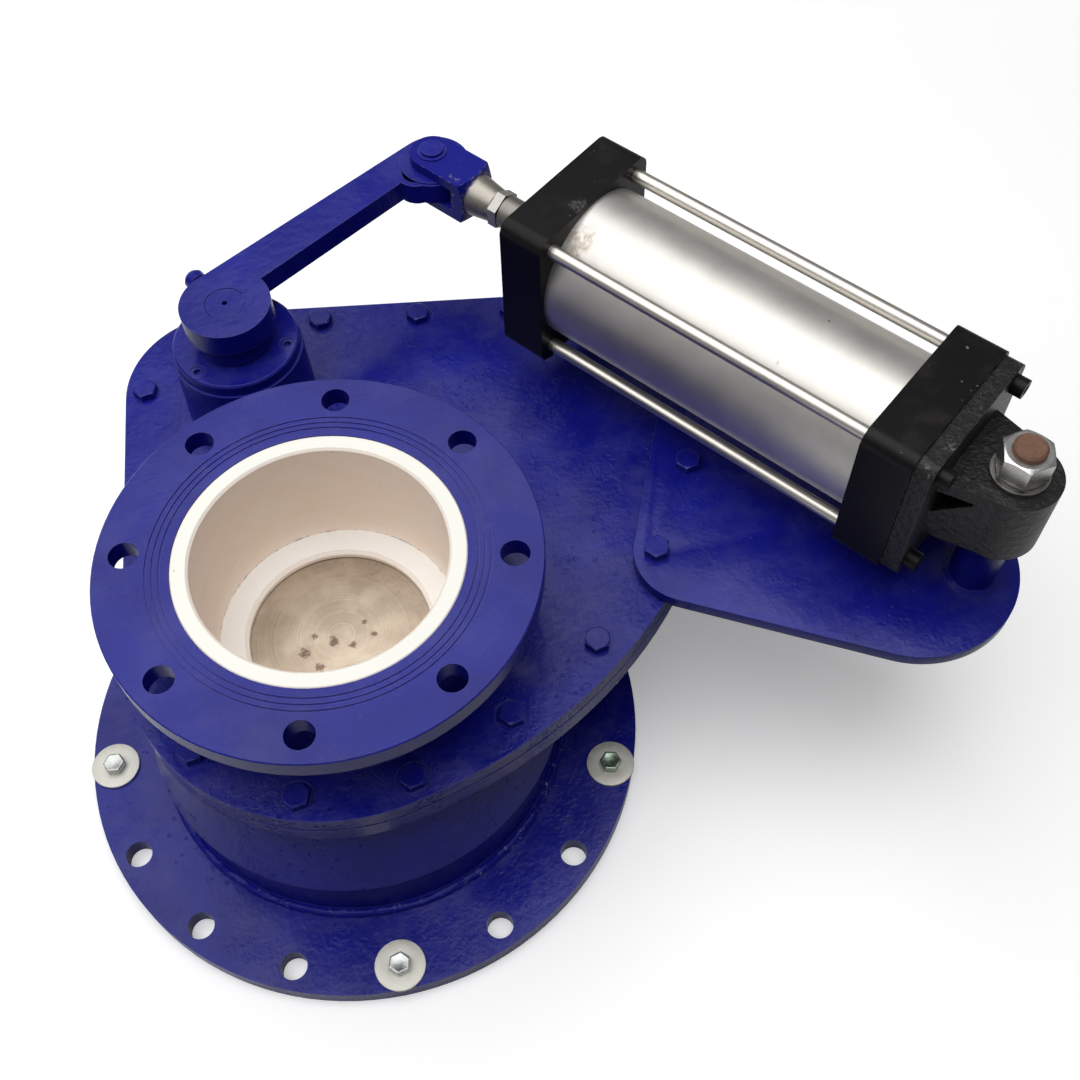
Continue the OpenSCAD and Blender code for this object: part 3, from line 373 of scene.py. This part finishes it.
def cap_black(name):
    """Satin black anodised cap, with dust, light flecks and a scuff on its upper face, and a painted highlight
    in patches along its edges.
    """
    s = Shader(name)
    up = s.facing_up()
    dust = s.fade(s.noise(38 * MM, 5, 0.7), 0.45, 0.8) * up
    colour = s.blend(dust * 0.35, tint(0.005, 0.0045, 0.0055), tint(0.040, 0.031, 0.027))
    flecks = s.specks(7 * MM, 0.09) * s.fade(s.noise(25 * MM, 2), 0.5, 0.65) * up
    for x, y, reach in CAP_FLECKS:
        flecks = s.maths("MAXIMUM", flecks, s.mark(x, y, CAP_TOP, reach))
    colour = s.blend(flecks * 0.6, colour, tint(0.30, 0.28, 0.26))
    scuff = s.mark(286, 176, CAP_TOP, 9) * s.fade(s.noise(3 * MM, 4, 0.7), 0.40, 0.55)
    rubbed = s.fade(s.noise(11 * MM, 5, 0.75), 0.66, 0.72) * s.fade(s.noise(60 * MM, 1), 0.5, 0.6) * 0.5
    scuff = s.maths("MAXIMUM", scuff, rubbed)
    colour = s.blend(scuff * 0.55, colour, tint(0.13, 0.125, 0.12))
    # Painted highlight: paler patches along the sharp edges of the cap.
    worn = s.sharp_edges(0.7 * MM) * s.fade(s.noise(9 * MM, 3), 0.5, 0.64) * 0.5
    colour = s.blend(worn, colour, tint(0.18, 0.17, 0.17))
    normal = s.bump(s.noise(1.4 * MM, 3, 0.6), 0.08 * MM, s.rounded(0.9 * MM), 0.6)
    return s.finish(colour, dust * 0.2 + scuff * 0.2 + 0.36, 0.0, normal, Specular_IOR_Level=0.16)


def cast_black(name):
    """Sand cast iron under thin black paint, rubbed pale where it was handled."""
    s = Shader(name)
    grain = s.noise(2.6 * MM, 4, 0.65)
    lumps = s.fade(s.noise(8 * MM, 3, 0.6), 0.35, 0.7)
    colour = s.blend(grain, tint(0.004, 0.004, 0.005), tint(0.020, 0.018, 0.017))
    rubbed = s.fade(s.noise(13 * MM, 5, 0.75), 0.58, 0.70) * s.fade(grain, 0.45, 0.6)
    colour = s.blend(rubbed * 0.55, colour, tint(0.24, 0.22, 0.20))
    worn = s.sharp_edges(1.2 * MM) * s.fade(s.noise(7 * MM, 3), 0.48, 0.62) * 0.6
    colour = s.blend(worn, colour, tint(0.28, 0.26, 0.24))
    normal = s.bump(grain * 0.7 + lumps * 0.8, 0.7 * MM, s.rounded(1.6 * MM), 0.9)
    return s.finish(colour, grain * 0.25 + 0.26, 0.0, normal, Specular_IOR_Level=0.28)


def drawn_metal(name, dark, light, rough, marked=False):
    """Metal drawn along the cylinder, faintly streaked; the tube is marked by spots and dirt as well."""
    s = Shader(name)
    length = s.along(rod_way) / (70 * MM)
    across = s.along(rod_side) / (1.4 * MM)
    streaks = s.noise(1.0, 3, 0.6, s.join(length, across, s.z / (1.4 * MM)))
    cloud = s.noise(28 * MM, 5, 0.65)
    colour = s.blend(cloud, dark, light)
    stained = s.fade(s.noise(34 * MM, 4, 0.7), 0.62, 0.80) * 0.3
    if marked:
        colour = s.blend(stained, colour, tint(0.42, 0.37, 0.30))
        dirt = s.mark(276, 152, 385, 16) * s.fade(s.noise(6 * MM, 4, 0.7), 0.35, 0.6)
        colour = s.blend(dirt * 0.6, colour, tint(0.25, 0.18, 0.10))
        spots = s.specks(30 * MM, 0.05) * s.fade(s.noise(50 * MM, 1), 0.48, 0.58)
        for x, y, z, reach in TUBE_SPOTS:
            spots = s.maths("MAXIMUM", spots, s.mark(x, y, z, reach))
        colour = s.blend(spots * 0.75, colour, tint(0.16, 0.10, 0.06))
    normal = s.bump(streaks * 0.3 + cloud * 0.4, 0.08 * MM, None, 0.5)
    return s.finish(colour, cloud * 0.10 + streaks * 0.06 + stained * 0.2 + rough, 0.95, normal)


def bright_steel(name, shade, rough, warm):
    """Ground or plated steel, slightly clouded and stained."""
    s = Shader(name)
    cloud = s.noise(9 * MM, 4, 0.65)
    light = tint(shade, shade * (1 - 0.02 * warm), shade * (1 - 0.08 * warm))
    dark = tint(shade * 0.72, shade * 0.70, shade * (0.68 - 0.05 * warm))
    colour = s.blend(cloud, dark, light)
    stain = s.fade(s.noise(15 * MM, 3, 0.7), 0.62, 0.75) * 0.4
    colour = s.blend(stain, colour, tint(0.30, 0.24, 0.19))
    normal = s.bump(s.noise(1.5 * MM, 2), 0.05 * MM, s.rounded(0.5 * MM), 0.5)
    return s.finish(colour, cloud * 0.15 + stain * 0.3 + rough, 0.95, normal)


def zinc_plate(name, green, rough):
    """Bright zinc plating, slightly cloudy; green adds the dull cast of a worn screw."""
    s = Shader(name)
    cloud = s.fade(s.noise(5 * MM, 4, 0.7), 0.3, 0.7)
    dull = tint(0.44 - 0.20 * green, 0.45 - 0.14 * green, 0.44 - 0.20 * green)
    light = tint(0.70 - 0.30 * green, 0.70 - 0.22 * green, 0.70 - 0.32 * green)
    colour = s.blend(cloud, dull, light)
    rust = s.specks(7 * MM, 0.12) * s.fade(s.noise(14 * MM, 2), 0.52, 0.62)
    colour = s.blend(rust * 0.6, colour, tint(0.22, 0.11, 0.05))
    normal = s.bump(s.noise(2.0 * MM, 3, 0.6), 0.12 * MM, s.rounded(0.5 * MM), 0.6)
    return s.finish(colour, cloud * 0.15 + rough, 0.85, normal)


def washer_plate(name):
    """Thick matt plating of the big washers: even, pale and a little yellow, with a few faint scuffs."""
    s = Shader(name)
    cloud = s.fade(s.noise(12 * MM, 4, 0.65), 0.3, 0.7)
    colour = s.blend(cloud, tint(0.62, 0.61, 0.54), tint(0.74, 0.73, 0.66))
    scuff = s.fade(s.noise(6 * MM, 5, 0.75), 0.62, 0.72) * 0.4
    colour = s.blend(scuff, colour, tint(0.40, 0.37, 0.30))
    normal = s.bump(s.noise(1.6 * MM, 3, 0.6), 0.10 * MM, s.rounded(0.5 * MM), 0.5)
    return s.finish(colour, cloud * 0.12 + 0.46, 0.35, normal)


def stud_steel(name):
    """Bright stud whose free end has rusted brown."""
    s = Shader(name)
    grain = s.noise(3 * MM, 4, 0.7)
    high = s.fade(s.z, stud_top - 16 * MM, stud_top - 10 * MM)
    rust = s.blend(grain, tint(0.10, 0.045, 0.025), tint(0.27, 0.145, 0.095))
    steel = s.blend(grain, tint(0.34, 0.33, 0.32), tint(0.52, 0.51, 0.50))
    colour = s.blend(high, steel, rust)
    normal = s.bump(grain, 0.25 * MM, s.rounded(0.8 * MM), 0.7)
    return s.finish(colour, high * 0.35 + 0.32, 0.9 - high * 0.65, normal)


def fork_finish(name):
    """Fork whose block was painted with the lever and whose neck stayed bare, worn along its edges."""
    s = Shader(name)
    behind = s.along(rod_way) * -1 + pin_at.dot(rod_way)
    ragged = behind + (s.noise(6 * MM, 4, 0.7) - 0.5) * (9 * MM)
    bare = s.fade(ragged, 50 * MM, 54 * MM)
    grain = s.noise(4 * MM, 4, 0.65)
    paint = s.blend(s.noise(30 * MM, 3), DEEP_BLUE, BRIGHT_BLUE)
    metal = s.blend(grain, tint(0.24, 0.22, 0.195), tint(0.42, 0.39, 0.345))
    chips = s.sharp_edges(1.0 * MM) * s.fade(s.noise(5 * MM, 3), 0.52, 0.62)
    rubbed = s.fade(s.noise(9 * MM, 5, 0.75), 0.60, 0.70) * s.fade(ragged, 20 * MM, 42 * MM)
    show = s.maths("MAXIMUM", bare, s.maths("MAXIMUM", chips, rubbed) * 0.85)
    colour = s.blend(show, paint, metal)
    normal = s.bump(grain * 0.5 + show * -0.6, 0.25 * MM, s.rounded(0.9 * MM), 0.7)
    return s.finish(colour, 0.34 + grain * 0.15, show * 0.9, normal, Specular_IOR_Level=PAINT_GLOSS)


def bronze_finish(name):
    s = Shader(name)
    cloud = s.noise(8 * MM, 4, 0.6)
    colour = s.blend(cloud, tint(0.42, 0.24, 0.09), tint(0.62, 0.40, 0.18))
    normal = s.bump(s.noise(1.5 * MM, 2), 0.08 * MM, s.rounded(0.5 * MM), 0.6)
    return s.finish(colour, cloud * 0.2 + 0.3, 0.9, normal)


def rubber_finish(name, dark, light):
    s = Shader(name)
    grain = s.noise(2 * MM, 4, 0.65)
    colour = s.blend(grain, dark, light)
    normal = s.bump(grain, 0.15 * MM, s.rounded(0.5 * MM), 0.6)
    return s.finish(colour, grain * 0.2 + 0.6, 0.0, normal)


def weld_paint(name):
    """Blue paint over a weld, with painted white glints in flecks here and there, most of all on its right
    side.
    """
    s = Shader(name)
    glint_flecks = s.fade(s.noise(12 * MM, 5, 0.75), 0.54, 0.62) * (s.fade(s.x, 20 * MM, 90 * MM) * 0.8 + 0.2)
    thin = s.fade(s.noise(2.5 * MM, 3, 0.6), 0.45, 0.6)
    colour = s.blend(s.noise(20 * MM, 3), DEEP_BLUE, BRIGHT_BLUE)
    # Painted glints: white flecks along the weld, stronger towards +x.
    colour = s.blend(glint_flecks * thin * 0.75, colour, tint(0.50, 0.50, 0.56))
    normal = s.bump(s.noise(3 * MM, 3, 0.6), 0.5 * MM, None, 0.8)
    return s.finish(colour, 0.32, 0.0, normal, Specular_IOR_Level=PAINT_GLOSS)


body_paint = enamel("blue enamel on body", cast=0.6, dust=0.16)
plate_paint = enamel("blue enamel on plate", cast=0.35, dust=0.10)
smooth_paint = enamel("blue enamel on machined steel", cast=0.0, dust=0.10)
bolt_paint = enamel("blue enamel on bolts", cast=0.0, dust=0.12, chips=0.5, edge=0.7 * MM)
cover_paint = cover_enamel("blue enamel on cover")
liner_white = cream_ceramic("cream ceramic liner", tint(0.98, 0.84, 0.73), tint(0.96, 0.95, 0.88))
seat_white = cream_ceramic("white ceramic seat", tint(0.98, 0.94, 0.88), tint(0.98, 0.975, 0.96))
disc_metal = turned_disc("turned disc metal")
satin_black = cap_black("satin black caps")
rough_black = cast_black("black cast iron")
tube_metal = drawn_metal("drawn tube metal", tint(0.54, 0.515, 0.49), tint(0.70, 0.68, 0.64), 0.37, True)
rod_steel = drawn_metal("dull chromed rod", tint(0.20, 0.185, 0.165), tint(0.32, 0.30, 0.27), 0.38)
nut_steel = bright_steel("bright nut steel", 0.66, 0.20, 0.3)
dark_steel = bright_steel("dark washer steel", 0.24, 0.36, 1.0)
tie_steel = drawn_metal("bright tie rod steel", tint(0.50, 0.48, 0.44), tint(0.66, 0.63, 0.58), 0.26)
bare_steel = bright_steel("bare machined steel", 0.46, 0.30, 1.0)
bright_zinc = zinc_plate("bright zinc plating", 0.15, 0.32)
dull_zinc = zinc_plate("dull zinc plating", 1.0, 0.26)
pale_zinc = washer_plate("matt pale plating")
stud_metal = stud_steel("rusted stud")
fork_metal = fork_finish("painted fork")
bronze = bronze_finish("bearing bronze")
rubber = rubber_finish("black rubber", tint(0.010, 0.010, 0.010), tint(0.028, 0.027, 0.026))
graphite = rubber_finish("graphite sheet", tint(0.03, 0.03, 0.033), tint(0.075, 0.075, 0.08))
weld_blue = weld_paint("blue paint on weld")

node_finish = {
    "lower_body": body_paint, "upper_cover": cover_paint, "body_gasket": graphite,
    "inlet_liner": liner_white, "seat_ring": seat_white, "disc": disc_metal,
    "rim_bolts": bolt_paint, "rim_nuts": bolt_paint, "gland_cover": smooth_paint,
    "gland_screws": bolt_paint, "shaft_end_cap": smooth_paint, "end_cap_screws": bolt_paint,
    "bracket_plate": plate_paint, "pivot_post": smooth_paint, "pivot_stud": stud_metal,
    "pivot_washers": dark_steel, "pivot_nut": nut_steel, "shaft": smooth_paint,
    "shaft_collar": smooth_paint, "lever_key": smooth_paint, "lever_arm": smooth_paint,
    "lever_set_screw": bolt_paint, "rocker_arm": bare_steel, "rocker_key": bare_steel,
    "arm_circlip": bare_steel, "disc_spindle": bare_steel, "spindle_nut": bright_zinc,
    "disc_spring": bare_steel, "disc_bush": bronze, "upper_bush": bronze, "lower_bush": bronze,
    "packing_rings": graphite, "rear_bracket": rough_black, "pivot_bush": bronze,
    "bracket_screws": satin_black, "rear_cap": satin_black, "front_cap": satin_black,
    "cylinder_tube": tube_metal, "tube_seals": rubber, "rod_bush": bronze, "rod_wiper": rubber,
    "tie_rods": tie_steel, "piston_rod": rod_steel, "piston": bare_steel, "piston_seals": rubber,
    "piston_nut": bright_zinc, "fork": fork_metal, "fork_lock_nut": bare_steel, "fork_pin": smooth_paint,
    "pin_circlips": smooth_paint, "thrust_washers": smooth_paint,
}
for name, node in nodes.items():
    for slot in node.material_slots:
        slot.material = node_finish[name]


# Small pieces


def deselect():
    bpy.ops.object.select_all(action="DESELECT")


def edit_faces(piece, wanted):
    """Opens a piece in edit mode with only the wanted faces selected."""
    bpy.ops.object.mode_set(mode="EDIT")
    bpy.ops.mesh.select_mode(type="FACE")
    bpy.ops.mesh.select_all(action="DESELECT")
    mesh = bmesh.from_edit_mesh(piece.data)
    for face in mesh.faces:
        face.select_set(bool(wanted(face)))
    bmesh.update_edit_mesh(piece.data)


def object_mode():
    bpy.ops.object.mode_set(mode="OBJECT")


def add_modifier(piece, kind, **settings):
    modifier = piece.modifiers.new(kind.title(), kind)
    for key, setting in settings.items():
        setattr(modifier, key, setting)
    bpy.ops.object.modifier_apply(modifier=modifier.name)


def ease_edges(piece, width, segments, from_angle):
    """Bevels all edges sharper than an angle in degrees."""
    add_modifier(
        piece, "BEVEL", width=width, segments=segments,
        limit_method="ANGLE", angle_limit=math.radians(from_angle))


def settle(piece, name, material, body):
    """Puts a piece's place into its mesh, shades it, and hangs it on its body."""
    bpy.ops.object.transform_apply(location=True, rotation=True, scale=True)
    bpy.ops.object.shade_smooth_by_angle(angle=math.radians(35))
    piece.name = name
    piece.data.materials.clear()
    piece.data.materials.append(material)
    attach(piece, body)
    return piece


def fresh(operator, **settings):
    """Adds a primitive with everything else deselected."""
    deselect()
    operator(**settings)
    return bpy.context.active_object


washer_radius = 21.5 * MM
washer_thick = 3 * MM
washer_bore = 7 * MM
head_across = 17 * MM
head_thick = 6.5 * MM
head_dome = 0.8 * MM
head_dish = 0.7 * MM
shank_inset = 4.2 * MM


def flat_washer(name, centre, material):
    """Large flat washer on the outlet flange."""
    piece = fresh(
        bpy.ops.mesh.primitive_cylinder_add,
        vertices=64, radius=washer_radius, depth=washer_thick, end_fill_type="NGON",
        location=(centre[0], centre[1], flange_thick + washer_thick / 2))
    edit_faces(piece, lambda face: abs(face.normal.z) > 0.9)
    bpy.ops.mesh.inset(thickness=washer_radius - washer_bore)
    bpy.ops.mesh.bridge_edge_loops()
    object_mode()
    ease_edges(piece, 0.5 * MM, 2, 50)
    return settle(piece, name, material, "housing")


def hex_screw(name, centre, turn, material):
    """Hexagon head with a turned off upper edge and a dished top, and its shank down the hole."""
    seat = flange_thick + washer_thick
    piece = fresh(
        bpy.ops.mesh.primitive_cylinder_add,
        vertices=6, radius=head_across / 2 / math.cos(math.radians(30)), depth=head_thick,
        end_fill_type="NGON", location=(centre[0], centre[1], seat + head_thick / 2), rotation=(0, 0, turn))
    edit_faces(piece, lambda face: face.normal.z > 0.9)
    bpy.ops.mesh.inset(thickness=1.4 * MM)
    bpy.ops.transform.translate(value=(0, 0, head_dome))
    bpy.ops.mesh.inset(thickness=1.6 * MM)
    bpy.ops.transform.translate(value=(0, 0, -head_dish))
    object_mode()
    edit_faces(piece, lambda face: face.normal.z < -0.9)
    bpy.ops.mesh.inset(thickness=shank_inset)
    bpy.ops.mesh.extrude_region_move(TRANSFORM_OT_translate={"value": (0, 0, -seat * 0.9)})
    object_mode()
    ease_edges(piece, 0.45 * MM, 2, 25)
    return settle(piece, name, material, "housing")


def bracket_plate(name, corners, holes, low, thick, hole_radius):
    """Flat plate round its corner circles (x, y, radius in mm), drilled for the rim bolts, with eased edges."""
    rounds = []
    for x, y, radius in corners:
        rounds.append(fresh(
            bpy.ops.mesh.primitive_cylinder_add,
            vertices=128, radius=radius * MM, depth=thick, end_fill_type="NGON",
            location=(x * MM, y * MM, low + thick / 2)))
    for piece in rounds:
        piece.select_set(True)
    bpy.ops.object.join()
    piece = bpy.context.active_object
    bpy.ops.object.transform_apply(location=True, rotation=True, scale=True)
    bpy.ops.object.mode_set(mode="EDIT")
    bpy.ops.mesh.select_all(action="SELECT")
    bpy.ops.mesh.convex_hull()
    bpy.ops.mesh.dissolve_limited(angle_limit=math.radians(0.2))
    object_mode()
    for x, y in holes:
        drill = fresh(
            bpy.ops.mesh.primitive_cylinder_add,
            vertices=48, radius=hole_radius, depth=thick * 3,
            location=(x * MM, y * MM, low + thick / 2))
        deselect()
        piece.select_set(True)
        bpy.context.view_layer.objects.active = piece
        add_modifier(piece, "BOOLEAN", object=drill, operation="DIFFERENCE", solver="EXACT")
        bpy.data.objects.remove(drill)
    ease_edges(piece, 1.3 * MM, 3, 50)
    settle(piece, name, plate_paint, "housing")
    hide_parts("bracket_plate")


plate_low, plate_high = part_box("bracket_plate")
plate_corners = [(288, -60, 47.7), (447.4, -138, 88.2), (366.9, 104.2, 24)]
plate_bolts = [(261.95, -47.97), (323.49, 21.84), (366.9, 104.16)]
bolt_hole_radius = 6.75 * MM
bracket_plate(
    "cylinder_plate", plate_corners, plate_bolts, plate_low.z, plate_high.z - plate_low.z, bolt_hole_radius)


# Three screws hold the outlet flange down for transport: side, hole number, plating, turn
transit = [("left", 7, bright_zinc, 0.25), ("front", 11, bright_zinc, 0.60), ("right", 14, dull_zinc, 0.10)]
for side, step, plating, turn in transit:
    angle = math.radians((step + 0.5) * 360 / outlet_holes)
    centre = (outlet_circle * math.cos(angle), outlet_circle * math.sin(angle))
    flat_washer(f"transit_washer_{side}", centre, pale_zinc)
    hex_screw(f"transit_screw_{side}", centre, turn, plating)


def weld_ring(name, radius, height, bead):
    """Rippled weld bead round an upright pipe."""
    piece = fresh(
        bpy.ops.mesh.primitive_torus_add,
        major_radius=radius, minor_radius=bead, major_segments=180, minor_segments=10,
        location=(0, 0, height))
    ripple = bpy.data.textures.new(f"{name} ripple", "CLOUDS")
    ripple.noise_scale = 9 * MM
    add_modifier(piece, "DISPLACE", texture=ripple, strength=1.6 * MM, mid_level=0.5, texture_coords="LOCAL")
    return settle(piece, name, weld_blue, "housing")


weld_ring("outlet_weld", pipe_radius + 3 * MM, flange_thick + 2 * MM, 4 * MM)


# Floor, light and camera


FLOOR_SEEN = tint(0.95, 0.95, 0.95)
FLOOR_LIT = tint(0.09, 0.09, 0.09)
GLOW_NEAR = tint(0.26, 0.26, 0.26)
GLOW_FAR = tint(0.92, 0.93, 0.95)
SKY_COLOUR = tint(0.97, 0.98, 1.0)
SKY_LIGHT = 0.10
SKY_IN_METAL = 0.14


def floor_material():
    """White to the eye and in reflections, dark for the light it throws back up; it keeps the shadow."""
    s = Shader("studio floor")
    ray = s.node("ShaderNodeLightPath")
    seen = s.maths("MAXIMUM", ray["Is Camera Ray"], ray["Is Glossy Ray"])
    seen = s.maths("MAXIMUM", seen, ray["Is Transmission Ray"])
    colour = s.blend(seen, FLOOR_LIT, FLOOR_SEEN)
    glow = s.blend(s.fade(s.from_axis((0, 0)), 1.0, 3.6), GLOW_NEAR, GLOW_FAR)
    lift = s.blend(ray["Is Camera Ray"], tint(0, 0, 0), glow)
    return s.finish(
        colour, 0.9, 0.0, None, Specular_IOR_Level=0.0, Emission_Color=lift, Emission_Strength=1.0)


def studio_sky():
    """White to the eye, dim as light, and a little brighter in metal."""
    s = Shader("studio", bpy.data.worlds)
    ray = s.node("ShaderNodeLightPath")
    strength = s.maths("MAXIMUM", ray["Is Camera Ray"], ray["Is Glossy Ray"] * SKY_IN_METAL + SKY_LIGHT)
    sky = s.node("ShaderNodeBackground", {}, {"Color": SKY_COLOUR, "Strength": strength})["Background"]
    s.node("ShaderNodeOutputWorld", {}, {"Surface": sky})
    return s.material


floor = fresh(bpy.ops.mesh.primitive_plane_add, size=30, location=(0, 0, 0))
floor.name = "studio_floor"
floor.data.materials.append(floor_material())

bpy.context.scene.world = studio_sky()


def ceiling_panel(name, place, length, width, power):
    """Soft panel that hangs level overhead, square to the cylinder."""
    lamp = bpy.data.lights.new(name, "AREA")
    lamp.shape = "RECTANGLE"
    lamp.size, lamp.size_y = length, width
    lamp.energy = power
    panel = bpy.data.objects.new(name, lamp)
    panel.location = place
    panel.rotation_euler = (0, 0, math.atan2(rod_side.y, rod_side.x))
    bpy.context.scene.collection.objects.link(panel)


ceiling_panel("key panel", (-1.39, 0.90, 2.8), 5.2, 1.7, 62)
ceiling_panel("fill panel", (0.10, -0.40, 3.0), 3.0, 1.9, 52)

camera_data = bpy.data.cameras.new("camera")
camera_data.sensor_width = 36
camera_data.lens = 45.03
camera = bpy.data.objects.new("camera", camera_data)
camera.location = (-0.0406, -0.5680, 1.1616)
camera.rotation_euler = [math.radians(angle) for angle in (32.872, 0.872, -22.394)]
bpy.context.scene.collection.objects.link(camera)
bpy.context.scene.camera = camera

bpy.context.scene.view_settings.view_transform = "Standard"
